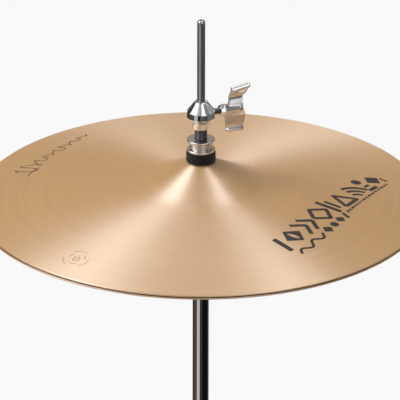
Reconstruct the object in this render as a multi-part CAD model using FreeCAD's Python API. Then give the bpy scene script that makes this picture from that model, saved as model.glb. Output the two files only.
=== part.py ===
import FreeCAD, Part
import math
import os

# Hi-hat on its pedal stand: two 14-inch cymbals, clutch, pull rod, tubes, pedal and folding tripod.
# Millimetres, +Z up. The rod's axis is x = y = 0, the floor is z = 0, the pedal points to -Y.
# The hats are drawn closed, as with the pedal pressed.

V = FreeCAD.Vector
UP = V(0, 0, 1)

# Clearances
running = 0.05            # radial, shaft in its bearing or thread in its nut
soft_gap = 0.3            # felt to its neighbours
side_gap = 0.3            # each side of a hinged tongue
open_pivot_gap = 0.8      # radial, at the toe pin, where the pedal's closed linkage is opened

# Cymbals
cymbal_radius = 177.8
cymbal_rise = 36.5        # rim to the crown round the hole
cymbal_wall = 1.2
cymbal_hole = 6.6         # radius
bell_radius = 48.0        # where the bell's side would meet the bow
bell_rise = 19.0
bell_flare = 8.0          # reach of the soft bend between bell and bow, each way
crown_radius = 12.5       # nearly flat land round the hole
crown_drop = 0.7
bow_swell = 2.6           # how far the bow stands above a straight cone
bell_swell = 1.9
rim_gap = 0.8             # between the closed rims
hat_height = 833.5        # plane between the rims

# Pull rod and tubes
rod_radius = 3.175
rod_above_crown = 119.8
rod_end_chamfer = 1.0
tube_radius = 6.35
tube_wall = 1.2
tube_length = 400.0
lower_tube_radius = 9.525
lower_tube_wall = 1.5
lower_tube_top = 500.0
coupler_play = 0.55
coupler_length = 30.0
coupler_z = 425.0
liner_length = 60.0
liner_lip = 3.0

# Clutch, heights from the top cymbal's crown
felt_radius = 11.75
felt_thickness = 8.2
nut_flange_radius = 11.0
nut_neck_radius = 9.4
nut_flange = 2.0
nut_neck = 2.95
nut_gap = 0.1
stem_radius = 4.9
stem_bore_gap = 0.3
stem_top = 31.0
body_base = 28.3
body_collar_radius = 7.1
body_collar = 4.7
body_taper = 2.6
body_radius = 11.2
body_band = 7.3
body_cone = 7.7
body_nose_radius = 5.0
lower_felt_radius = 11.0
lower_felt_thickness = 6.0
bottom_nut_radius = 8.5
bottom_nut_height = 9.0
stem_below_nut = 1.5

# Clutch wing screw, from the rod's axis outwards
wing_turn = 24.0          # degrees from +X towards +Y
wing_roll = 15.0          # degrees that the upper blade leans to -Y about the screw's axis
wing_height = 39.8
clutch_stud_radius = 2.5
clutch_hub_start = 15.4
clutch_hub_length = 8.6
clutch_hub_radius = 5.4
clutch_wing_span = 22.0
clutch_wing_thickness = 3.2

# Bottom cymbal's seat
seat_felt_radius = 19.0
seat_felt_thickness = 5.0
seat_radius = 20.5
seat_plate = 4.0
seat_sleeve_radius = 10.0
seat_sleeve = 14.0
bushing_flange_radius = 8.8
bushing_nose_radius = 6.1
bushing_nose_above = 3.0
bushing_spigot = 20.0
set_screw_radius = 2.0

# Height clamp and its wing bolt
clamp_radius = 15.5
clamp_below = 26.0
clamp_above = 20.0
clamp_boss_radius = 7.5
clamp_boss_reach = 22.0
clamp_boss_rise = 1.5     # above the middle of the collar's free part
bolt_radius = 3.0
bolt_hub_length = 9.0
bolt_hub_radius = 6.5
bolt_wing_span = 24.0
bolt_wing_thickness = 3.6
bolt_turn = 30.0          # degrees from +X, clear of the legs
bolt_roll = 0.0

# Tripod
leg_turns = (90.0, 210.0, 330.0)
leg_length = 370.0        # collar pivot to the strap's end
leg_angle = 48.0          # from the vertical, standing
leg_fold = 12.0           # from the vertical, folded
leg_end_z = 8.0
strap_width = 14.0
strap_thickness = 2.5
pivot_radius = 24.0       # pivots' distance from the rod's axis
tongue_thickness = 11.0
leg_pin_radius = 3.0
pin_head = 1.5
pin_head_radius = 4.6
brace_on_leg = 150.0      # collar pivot to the brace's rivet, along the leg
brace_thickness = 10.4
brace_width = 13.0
collar_radius = 15.0
collar_below = 16.0
collar_above = 18.0
foot_radius = 11.0
foot_sleeve = 30.0
foot_tip = 6.0

# Yoke, the casting at the foot of the tube
yoke_pivot_z = 155.0
yoke_radius = 16.5
yoke_top = 196.0
yoke_bar_bottom = 126.0
yoke_bar_top = 144.0
yoke_bar_depth = 26.0
tube_seat_z = 150.0
yoke_bore = 7.2
post_inner = 41.0
post_thickness = 9.0
post_depth = 22.0
ear_thickness = 4.5
ear_height = 9.0
pad_thickness = 3.0

# Spring, inside the lower tube
spring_coil_radius = 6.0
spring_wire = 1.6
spring_turns = 11.0
spring_length = 78.0
spring_seat = 8.0
spring_collar = 6.0
spring_collar_radius = 7.4

# Pedal
heel_pin_y = -250.0
heel_pin_z = 24.0
heel_pin_radius = 3.0
toe_pin_reach = 238.0     # heel pin to toe pin
toe_pin_z = 44.0
pedal_pin_radius = 2.0
clevis_pin_z = 92.0
clevis_radius = 6.5
clevis_below = 8.0
clevis_above = 18.0
link_thickness = 4.0
link_eye = 5.5
board_half_width = 39.0
board_toe_half_width = 26.0
board_thickness = 3.0
board_start = 9.0
board_end = 224.0
board_shoulder = 60.0     # where the toe starts to narrow, from the board's end
tread_bars = 9
tread_bar_width = 3.0
tread_bar_height = 1.2
tread_margin = 28.0
knuckle_radius = 5.5
knuckle_half_width = 30.0
heel_ear = 6.0
heel_plate_thickness = 4.0
heel_plate_half_width = 52.0
heel_plate_front = -232.0
frame_rod_radius = 3.5
frame_rod_x = 45.5
frame_boss_length = 26.0

# Worked out from the values above
rim_top = hat_height + rim_gap / 2 + cymbal_wall
crown = rim_top + cymbal_rise
low_crown = 2 * hat_height - crown
bow_rise = cymbal_rise - bell_rise
seat_felt_top = low_crown - soft_gap
seat_top = seat_felt_top - seat_felt_thickness - soft_gap
tube_bottom = seat_top - tube_length
lower_nut_base = crown + felt_thickness + 2 * soft_gap
upper_nut_base = lower_nut_base + nut_flange + nut_neck + nut_gap
lower_felt_top = crown - cymbal_wall - crown_drop - soft_gap
bottom_nut_top = lower_felt_top - lower_felt_thickness - soft_gap
stem_bottom = bottom_nut_top - bottom_nut_height - stem_below_nut
lean = math.radians(leg_angle)
collar_pivot_z = leg_end_z + leg_length * math.cos(lean)
rivet_r = pivot_radius + brace_on_leg * math.sin(lean)
rivet_z = collar_pivot_z - brace_on_leg * math.cos(lean)
brace_length = math.hypot(rivet_r - pivot_radius, rivet_z - yoke_pivot_z)
brace_angle = math.atan2(rivet_z - yoke_pivot_z, rivet_r - pivot_radius)
tip_reach = (leg_length + foot_tip) * math.sin(lean) + foot_radius * math.cos(lean)
leg_reach = pivot_radius + tip_reach
post_x = post_inner + post_thickness / 2
spring_base = tube_seat_z + spring_seat
spring_collar_z = spring_base + spring_length + 2 * soft_gap
board_tilt = math.asin((toe_pin_z - heel_pin_z) / toe_pin_reach)
toe_pin_y = heel_pin_y + toe_pin_reach * math.cos(board_tilt)
frame_rod_z = pad_thickness + heel_plate_thickness + frame_rod_radius
clamp_middle = lower_tube_top + clamp_above / 2 + clamp_boss_rise
collar_middle = collar_pivot_z + collar_above / 2


def cylinder(radius, bottom, top):
    """Upright cylinder on the rod's axis."""
    return Part.makeCylinder(radius, top - bottom, V(0, 0, bottom))


def tube(outer, inner, bottom, top):
    """Upright tube on the rod's axis."""
    return cylinder(outer, bottom, top).cut(cylinder(inner, bottom - 1, top + 1))


def block(x0, x1, y0, y1, z0, z1):
    """Box between two corners."""
    return Part.makeBox(x1 - x0, y1 - y0, z1 - z0, V(x0, y0, z0))


def bar(radius, start, end):
    """Round bar between two points."""
    return Part.makeCylinder(radius, (end - start).Length, start, end - start)


def turned(points):
    """Solid of revolution from (radius, height) corners."""
    corners = [V(r, 0, z) for r, z in points]
    face = Part.Face(Part.makePolygon(corners + corners[:1]))
    return face.revolve(V(0, 0, 0), UP, 360)


def outward(turn, radius, height):
    """Point at a distance from the rod's axis, in the direction turn."""
    angle = math.radians(turn)
    return V(radius * math.cos(angle), radius * math.sin(angle), height)


def spun(shape, turn):
    """Copy turned about the rod's axis from the XZ plane."""
    copy = shape.copy()
    copy.rotate(V(0, 0, 0), UP, turn)
    return copy


def capsule(start, end, half_width, thickness, side=0.0):
    """Flat bar with round ends in the XZ plane, centred at y = side."""
    along = (end - start).normalize()
    across = V(-along.z, 0, along.x) * half_width
    down = V(0, side - thickness / 2, 0)
    edges = [
        Part.makeLine(start + across + down, end + across + down),
        Part.Arc(end + across + down, end + along * half_width + down, end - across + down).toShape(),
        Part.makeLine(end - across + down, start - across + down),
        Part.Arc(start - across + down, start - along * half_width + down, start + across + down).toShape(),
    ]
    return Part.Face(Part.Wire(edges)).extrude(V(0, thickness, 0))


def cross_pin(x, z, radius, half_length, y=0.0):
    """Pin along Y at a point of the XZ plane."""
    return bar(radius, V(x, y - half_length, z), V(x, y + half_length, z))


def headed_pin(x, z, radius, half_length):
    """Rivet along Y with a low head at each end."""
    pin = cross_pin(x, z, radius, half_length)
    for end in (-1, 1):
        middle = end * (half_length + pin_head / 2)
        pin = pin.fuse(cross_pin(x, z, pin_head_radius, pin_head / 2, middle))
    return pin.removeSplitter()


# Cymbals


def cymbal(flip):
    """Thin turned shell: bow, flared bell foot, bell and crown. flip is 1 upwards, -1 downwards."""

    def place(radius, rise):
        return V(radius, 0, hat_height + flip * (rim_top - hat_height + rise))

    def contour(drop):
        rim = (cymbal_radius, -drop)
        bow_end = (bell_radius + bell_flare, bow_rise - drop)
        bell_start = (bell_radius - bell_flare, bow_rise + bell_flare * 0.6 - drop)
        crown_edge = (crown_radius, cymbal_rise - crown_drop - drop)
        hole = (cymbal_hole, cymbal_rise - drop)
        swells = (bow_swell, -bell_flare * 0.12, bell_swell)
        spans = ((rim, bow_end), (bow_end, bell_start), (bell_start, crown_edge))
        edges = []
        for (a, b), swell in zip(spans, swells):
            middle = place((a[0] + b[0]) / 2, (a[1] + b[1]) / 2 + swell)
            edges.append(Part.Arc(place(*a), middle, place(*b)).toShape())
        edges.append(Part.makeLine(place(*crown_edge), place(*hole)))
        return edges

    upper = contour(0)
    under = contour(cymbal_wall)
    rim_edge = Part.makeLine(place(cymbal_radius, 0), place(cymbal_radius, -cymbal_wall))
    hole_edge = Part.makeLine(place(cymbal_hole, cymbal_rise), place(cymbal_hole, cymbal_rise - cymbal_wall))
    outline = Part.Wire(Part.__sortEdges__(upper + under + [rim_edge, hole_edge]))
    return Part.Face(outline).revolve(V(0, 0, 0), UP, 360)


# Clutch


def flanged_nut(base, flange_up):
    """Low round nut with a wide flange at one end, threaded on the stem."""
    height = nut_flange + nut_neck
    flange_base = base + nut_neck if flange_up else base
    nut = cylinder(nut_neck_radius, base, base + height)
    nut = nut.fuse(cylinder(nut_flange_radius, flange_base, flange_base + nut_flange))
    return nut.cut(cylinder(stem_radius + running, base - 1, base + height + 1)).removeSplitter()


def clutch_body():
    """Turned body: collar, taper, polished band and cone, bored for the rod, the stem and the stud."""
    base = crown + body_base
    collar_top = base + body_collar
    band_base = collar_top + body_taper
    band_top = band_base + body_band
    top = band_top + body_cone
    outline = [(0, base), (body_collar_radius, base), (body_collar_radius, collar_top)]
    outline += [(body_radius, band_base), (body_radius, band_top), (body_nose_radius, top), (0, top)]
    body = turned(outline)
    body = body.cut(cylinder(rod_radius + running, base - 1, top + 1))
    body = body.cut(cylinder(stem_radius + running, base - 1, crown + stem_top + running))
    height = crown + wing_height
    hole = bar(clutch_stud_radius + running, outward(wing_turn, 0, height), outward(wing_turn, 20, height))
    return body.cut(hole)


def clutch_stem():
    """Threaded sleeve that hangs from the body and carries the nuts, felts and cymbal."""
    return tube(stem_radius, rod_radius + stem_bore_gap, stem_bottom, crown + stem_top)


def bottom_nut():
    """Round nut with grip flutes that closes the stem under the lower felt."""
    base = bottom_nut_top - bottom_nut_height
    nut = tube(bottom_nut_radius, stem_radius + running, base, bottom_nut_top)
    flutes = 12
    for step in range(flutes):
        spot = outward(step * 360 / flutes, bottom_nut_radius + 0.6, base)
        nut = nut.cut(bar(1.2, spot, spot + UP * (bottom_nut_height - 2)))
    return nut


def wing_stud(turn, height, radius, inner, outer):
    """Plain threaded stud along the wing's axis."""
    return bar(radius, outward(turn, inner, height), outward(turn, outer, height))


def wing_head(turn, height, start, hub_length, hub_radius, span, thickness, stud_radius, roll):
    """Die-cast wing: a coned hub and two broad blades above and below it, rolled about the screw."""
    hub = Part.makeCone(hub_radius, hub_radius * 0.72, hub_length, V(start, 0, height), V(1, 0, 0))
    root = start + hub_length
    reach = hub_length * 1.7
    blade = [(root - 2.5, 0), (root, span * 0.35), (root + 0.5, span * 0.86), (root + reach, span)]
    blade += [(root + reach, span * 0.62), (root + reach * 0.8, span * 0.4), (root + reach * 0.8, 0)]
    upper = [V(a, -thickness / 2, height + h) for a, h in blade]
    lower = [V(a, -thickness / 2, height - h) for a, h in reversed(blade[1:-1])]
    outline = Part.makePolygon(upper + lower + upper[:1])
    head = hub.fuse(Part.Face(outline).extrude(V(0, thickness, 0)))
    socket = bar(stud_radius + running, V(start - 1, 0, height), V(start + hub_length * 0.8, 0, height))
    head = head.cut(socket)
    head.rotate(V(0, 0, height), V(1, 0, 0), roll)
    return spun(head, turn)


# Seat and tubes


def seat():
    """Dished plate with a sleeve that clamps on the top of the tube."""
    shell = cylinder(seat_radius, seat_top - seat_plate, seat_top)
    shell = shell.fuse(cylinder(seat_sleeve_radius, seat_top - seat_plate - seat_sleeve, seat_top))
    lip = tube(seat_radius, seat_felt_radius + soft_gap, seat_top - 1, seat_top + seat_felt_thickness / 2)
    shell = shell.fuse(lip)
    shell = shell.cut(cylinder(tube_radius + running, seat_top - 60, seat_top + 1))
    middle = seat_top - seat_plate - seat_sleeve / 2
    hole = bar(set_screw_radius + running, V(0, 0, middle), V(0, seat_sleeve_radius + 5, middle))
    return shell.cut(hole).removeSplitter()


def seat_screw():
    """Screw that holds the seat on the tube, with a knurled head."""
    middle = seat_top - seat_plate - seat_sleeve / 2
    tip = V(0, tube_radius + running, middle)
    shank = bar(set_screw_radius, tip, V(0, seat_sleeve_radius + 2, middle))
    return shank.fuse(bar(4.0, V(0, seat_sleeve_radius + 0.5, middle), V(0, seat_sleeve_radius + 6, middle)))


def rod_bushing():
    """Nylon guide in the top of the tube, with a nose that centres the bottom cymbal."""
    bush = cylinder(tube_radius - tube_wall - running, seat_top - bushing_spigot, seat_top)
    bush = bush.fuse(cylinder(bushing_flange_radius, seat_top, seat_felt_top - 0.5))
    bush = bush.fuse(cylinder(bushing_nose_radius, seat_top, low_crown + cymbal_wall + bushing_nose_above))
    return bush.cut(cylinder(rod_radius + running, seat_top - 60, crown)).removeSplitter()


def bolt_boss(height):
    """Round boss that a wing bolt screws into."""
    return bar(clamp_boss_radius, outward(bolt_turn, 0, height), outward(bolt_turn, clamp_boss_reach, height))


def bolt_hole(height):
    """Threaded hole of a wing bolt, from the tube outwards."""
    end = outward(bolt_turn, clamp_boss_reach + 1, height)
    return bar(bolt_radius + running, outward(bolt_turn, 0, height), end)


def height_clamp():
    """Cast collar on the lower tube's mouth with a boss for the wing bolt."""
    bottom = lower_tube_top - clamp_below
    top = lower_tube_top + clamp_above
    shell = cylinder(clamp_radius, bottom, top).fuse(bolt_boss(clamp_middle))
    shell = shell.cut(cylinder(lower_tube_radius + running, bottom - 1, lower_tube_top + liner_lip))
    shell = shell.cut(cylinder(tube_radius + running, bottom, top + 1))
    return shell.cut(bolt_hole(clamp_middle)).removeSplitter()


def tube_liner():
    """Nylon sleeve between the two tubes, with a lip on the lower tube's mouth."""
    outer = lower_tube_radius - lower_tube_wall - running
    sleeve = cylinder(outer, lower_tube_top - liner_length, lower_tube_top + liner_lip)
    sleeve = sleeve.fuse(cylinder(lower_tube_radius, lower_tube_top, lower_tube_top + liner_lip))
    bore = cylinder(tube_radius + running, lower_tube_top - liner_length - 1, lower_tube_top + liner_lip + 1)
    return sleeve.cut(bore).removeSplitter()


def upper_rod():
    """Upper pull rod with a chamfered end."""
    top = crown + rod_above_crown
    base = coupler_z + coupler_length / 2
    outline = [(0, base), (rod_radius, base), (rod_radius, top - rod_end_chamfer)]
    outline += [(rod_radius - rod_end_chamfer, top), (0, top)]
    return turned(outline)


def rod_coupler():
    """Round nut that joins the two rods inside the tube, with play to the tube's bore."""
    outer = tube_radius - tube_wall - coupler_play
    return tube(outer, rod_radius + running, coupler_z, coupler_z + coupler_length)


# Tripod, each leg drawn in the XZ plane and spun to its place


def leg_line(distance):
    """Point on the leg's centre line at a distance from the collar's pivot."""
    return V(pivot_radius + distance * math.sin(lean), 0, collar_pivot_z - distance * math.cos(lean))


def leg_straps(side):
    """One flat strap of a leg, on one side of the tongue."""
    offset = side * (tongue_thickness / 2 + side_gap + strap_thickness / 2)
    end = leg_line(leg_length - strap_width / 2)
    strap = capsule(leg_line(0), end, strap_width / 2, strap_thickness, offset)
    strap = strap.cut(cross_pin(pivot_radius, collar_pivot_z, leg_pin_radius + running, 30))
    return strap.cut(cross_pin(rivet_r, rivet_z, leg_pin_radius, 30))


def leg_rivet():
    """The two headed ends of the brace's rivet, one in each strap."""
    inner = tongue_thickness / 2 + side_gap
    outer = inner + strap_thickness
    halves = []
    for side in (-1, 1):
        shank = cross_pin(rivet_r, rivet_z, leg_pin_radius, strap_thickness / 2, side * (inner + outer) / 2)
        head = cross_pin(rivet_r, rivet_z, pin_head_radius, pin_head / 2, side * (outer + pin_head / 2))
        halves.append(shank.fuse(head).removeSplitter())
    return halves


def foot():
    """Rubber boot on the straps' ends, flat where it meets the floor."""
    boot = bar(foot_radius, leg_line(leg_length - foot_sleeve), leg_line(leg_length + foot_tip))
    boot = boot.common(block(0, 600, -100, 100, 0, 300))
    for side in (-1, 1):
        offset = side * (tongue_thickness / 2 + side_gap + strap_thickness / 2)
        end = leg_line(leg_length - strap_width / 2)
        boot = boot.cut(capsule(leg_line(0), end, strap_width / 2, strap_thickness, offset))
    return boot


def brace():
    """Flat brace from the yoke's ears to the leg."""
    start = V(pivot_radius, 0, yoke_pivot_z)
    end = V(rivet_r, 0, rivet_z)
    plate = capsule(start, end, brace_width / 2, brace_thickness)
    return plate.cut(cross_pin(pivot_radius, yoke_pivot_z, leg_pin_radius + running, 30))


def leg_collar():
    """Sliding collar with a tongue for each leg and a boss for its wing bolt."""
    bottom = collar_pivot_z - collar_below
    top = collar_pivot_z + collar_above
    shell = cylinder(collar_radius, bottom, top)
    for turn in leg_turns:
        start = V(6, 0, collar_pivot_z)
        tongue = capsule(start, V(pivot_radius, 0, collar_pivot_z), strap_width / 2, tongue_thickness)
        shell = shell.fuse(spun(tongue, turn))
    shell = shell.fuse(bolt_boss(collar_middle))
    shell = shell.cut(cylinder(lower_tube_radius + running, bottom - 1, top + 1))
    shell = shell.cut(bolt_hole(collar_middle))
    for turn in leg_turns:
        shell = shell.cut(spun(cross_pin(pivot_radius, collar_pivot_z, leg_pin_radius, 30), turn))
    return shell.removeSplitter()


def collar_pins():
    """The three leg pins, headed outside the straps."""
    half = tongue_thickness / 2 + side_gap + strap_thickness + side_gap
    pin = headed_pin(pivot_radius, collar_pivot_z, leg_pin_radius, half)
    return [spun(pin, turn) for turn in leg_turns]


def yoke_ears():
    """The pair of ears that holds one brace."""
    inner = brace_thickness / 2 + side_gap
    ears = []
    for side in (-1, 1):
        centre = side * (inner + ear_thickness / 2)
        ear = capsule(V(8, 0, yoke_pivot_z), V(pivot_radius, 0, yoke_pivot_z), ear_height, ear_thickness, centre)
        ears.append(ear)
    return ears


def brace_pins():
    """The three brace pins, headed outside the ears."""
    half = brace_thickness / 2 + side_gap + ear_thickness
    pin = headed_pin(pivot_radius, yoke_pivot_z, leg_pin_radius, half)
    return [spun(pin, turn) for turn in leg_turns]


# Yoke and pedal


def yoke():
    """Cast arch at the foot of the tube: hub, cross bar, two posts and the ears of the braces."""
    shell = cylinder(yoke_radius, yoke_bar_bottom, yoke_top)
    reach = post_inner + post_thickness
    shell = shell.fuse(block(-reach, reach, -yoke_bar_depth / 2, yoke_bar_depth / 2, yoke_bar_bottom, yoke_bar_top))
    for side in (-1, 1):
        near = side * post_inner
        far = side * reach
        post = block(min(near, far), max(near, far), -post_depth / 2, post_depth / 2, pad_thickness, yoke_bar_top)
        shell = shell.fuse(post)
    for turn in leg_turns:
        for ear in yoke_ears():
            shell = shell.fuse(spun(ear, turn))
    shell = shell.cut(cylinder(lower_tube_radius + running, tube_seat_z, yoke_top + 1))
    shell = shell.cut(cylinder(yoke_bore, yoke_bar_bottom - 1, tube_seat_z + 1))
    for turn in leg_turns:
        inner_face = pivot_radius - brace_width / 2 - 1
        slot_half = brace_thickness / 2 + side_gap
        slot = block(inner_face, pivot_radius + 40, -slot_half, slot_half, yoke_bar_top, yoke_top + 1)
        shell = shell.cut(spun(slot, turn))
        shell = shell.cut(spun(cross_pin(pivot_radius, yoke_pivot_z, leg_pin_radius, 30), turn))
    for side in (-1, 1):
        start = V(side * frame_rod_x, -post_depth, frame_rod_z)
        shell = shell.cut(bar(frame_rod_radius, start, V(side * frame_rod_x, post_depth / 2 - 4, frame_rod_z)))
    hole = bar(bolt_radius, V(0, 0, yoke_top - 8), V(0, -yoke_radius - 5, yoke_top - 8))
    return shell.cut(hole).removeSplitter()


def tube_screw():
    """Screw that fixes the lower tube in the yoke."""
    height = yoke_top - 8
    shank = bar(bolt_radius, V(0, -lower_tube_radius - running, height), V(0, -yoke_radius - 1, height))
    head = bar(bolt_radius * 1.8, V(0, -yoke_radius, height), V(0, -yoke_radius - 5, height))
    return shank.fuse(head)


def yoke_pads():
    """Rubber pads under the two posts."""
    pads = []
    for side in (-1, 1):
        x = side * post_x
        half = post_thickness / 2
        pads.append(block(x - half, x + half, -post_depth / 2, post_depth / 2, 0, pad_thickness))
    return pads


def frame_rods():
    """The two steel rods that tie the heel plate to the yoke."""
    back = -leg_reach + 12
    rods = []
    for side in (-1, 1):
        start = V(side * frame_rod_x, back, frame_rod_z)
        rods.append(bar(frame_rod_radius, start, V(side * frame_rod_x, post_depth / 2 - 4, frame_rod_z)))
    return rods


def heel_plate():
    """Plate under the heel with two hinge ears and two sockets for the frame rods."""
    top = pad_thickness + heel_plate_thickness
    width = heel_plate_half_width
    plate = block(-width, width, -leg_reach, heel_plate_front, pad_thickness, top)
    for side in (-1, 1):
        near = knuckle_half_width + 1
        x0 = min(side * near, side * (near + heel_ear))
        ear = block(x0, x0 + heel_ear, heel_pin_y - 9, heel_pin_y + 9, pad_thickness + 1, heel_pin_z)
        plate = plate.fuse(ear)
        plate = plate.fuse(bar(9, V(x0, heel_pin_y, heel_pin_z), V(x0 + heel_ear, heel_pin_y, heel_pin_z)))
        x = side * frame_rod_x
        socket = block(x - 6.5, x + 6.5, -leg_reach + 8, -leg_reach + 8 + frame_boss_length, top - 1, top + 10)
        plate = plate.fuse(socket)
    plate = plate.cut(bar(heel_pin_radius, V(-60, heel_pin_y, heel_pin_z), V(60, heel_pin_y, heel_pin_z)))
    for rod in frame_rods():
        plate = plate.cut(rod)
    return plate.removeSplitter()


def heel_mat():
    """Rubber mat under the heel plate."""
    width = heel_plate_half_width
    return block(-width, width, -leg_reach, heel_plate_front, 0, pad_thickness)


def heel_pin():
    """Hinge pin of the footboard."""
    half = knuckle_half_width + 1 + heel_ear
    return bar(heel_pin_radius, V(-half, heel_pin_y, heel_pin_z), V(half, heel_pin_y, heel_pin_z))


def board_outline():
    """Outline of the tread with a narrowing, rounded toe, drawn flat along +Y from the heel pin."""
    w = board_half_width
    t = board_toe_half_width
    shoulder = board_end - board_shoulder
    edges = [
        Part.makeLine(V(-w, board_start, 0), V(w, board_start, 0)),
        Part.makeLine(V(w, board_start, 0), V(w, shoulder, 0)),
        Part.makeLine(V(w, shoulder, 0), V(t, board_end - t * 0.6, 0)),
        Part.Arc(V(t, board_end - t * 0.6, 0), V(0, board_end, 0), V(-t, board_end - t * 0.6, 0)).toShape(),
        Part.makeLine(V(-t, board_end - t * 0.6, 0), V(-w, shoulder, 0)),
        Part.makeLine(V(-w, shoulder, 0), V(-w, board_start, 0)),
    ]
    return Part.Face(Part.Wire(edges))


def footboard():
    """Cast tread with grip bars, a hinge knuckle at the heel and two ears at the toe."""
    tread = board_outline().extrude(V(0, 0, board_thickness))
    pitch = (board_end - board_shoulder - 2 * tread_margin) / (tread_bars - 1)
    for step in range(tread_bars):
        y = board_start + tread_margin + step * pitch
        half = board_half_width - 7
        height = board_thickness + tread_bar_height
        tread = tread.fuse(block(-half, half, y, y + tread_bar_width, board_thickness - 0.5, height))
    neck = block(-knuckle_half_width, knuckle_half_width, 0, board_start + 2, 0, board_thickness)
    tread = tread.fuse(neck)
    tread = tread.fuse(bar(knuckle_radius, V(-knuckle_half_width, 0, 0), V(knuckle_half_width, 0, 0)))
    inner = link_thickness / 2 + side_gap
    for side in (-1, 1):
        x0 = min(side * inner, side * (inner + 4))
        ear = block(x0, x0 + 4, board_end - 22, toe_pin_reach, -link_eye, link_eye)
        ear = ear.fuse(bar(link_eye, V(x0, toe_pin_reach, 0), V(x0 + 4, toe_pin_reach, 0)))
        tread = tread.fuse(ear)
    slot = block(-inner, inner, board_end - 12, toe_pin_reach + 20, -20, 20)
    tread = tread.cut(slot)
    tread = tread.cut(bar(heel_pin_radius + running, V(-60, 0, 0), V(60, 0, 0)))
    tread = tread.cut(bar(pedal_pin_radius, V(-20, toe_pin_reach, 0), V(20, toe_pin_reach, 0)))
    tread = tread.removeSplitter()
    tread.rotate(V(0, 0, 0), V(1, 0, 0), math.degrees(board_tilt))
    tread.translate(V(0, heel_pin_y, heel_pin_z))
    return tread


def pedal_pin(y, z, half):
    """Small pin along X."""
    return bar(pedal_pin_radius, V(-half, y, z), V(half, y, z))


def link():
    """Flat link from the toe of the footboard to the rod's clevis."""
    flat = capsule(V(0, 0, clevis_pin_z), V(toe_pin_y, 0, toe_pin_z), link_eye, link_thickness)
    flat.rotate(V(0, 0, 0), UP, 90)
    for y, z, gap in ((0, clevis_pin_z, running), (toe_pin_y, toe_pin_z, open_pivot_gap)):
        flat = flat.cut(bar(pedal_pin_radius + gap, V(-20, y, z), V(20, y, z)))
    return flat


def clevis():
    """Fork on the rod's lower end."""
    bottom = clevis_pin_z - clevis_below
    top = clevis_pin_z + clevis_above
    fork = cylinder(clevis_radius, bottom, top)
    half = link_thickness / 2 + side_gap
    fork = fork.cut(block(-half, half, -20, 20, bottom - 1, clevis_pin_z + link_eye + 1))
    fork = fork.cut(bar(pedal_pin_radius, V(-20, 0, clevis_pin_z), V(20, 0, clevis_pin_z)))
    return fork.cut(cylinder(rod_radius, clevis_pin_z + link_eye + 2.5, top + 1))


def spring():
    """Round-wire compression spring."""
    rise = spring_length - spring_wire
    base = spring_base + soft_gap + spring_wire / 2
    path = Part.makeHelix(rise / spring_turns, rise, spring_coil_radius)
    path.translate(V(0, 0, base))
    section = Part.Wire(Part.makeCircle(spring_wire / 2, V(spring_coil_radius, 0, base), V(0, 1, 0)))
    return Part.Wire(path.Edges).makePipeShell([section], True, True)


os.makedirs("parts", exist_ok=True)

bolt_inner = {"height": tube_radius + running, "legs": lower_tube_radius + running}
bolt_start = clamp_boss_reach + 2
bolt_size = (bolt_hub_length, bolt_hub_radius, bolt_wing_span, bolt_wing_thickness, bolt_radius, bolt_roll)
clutch_wing_size = (
    clutch_hub_length, clutch_hub_radius, clutch_wing_span, clutch_wing_thickness, clutch_stud_radius,
    wing_roll,
)

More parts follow.
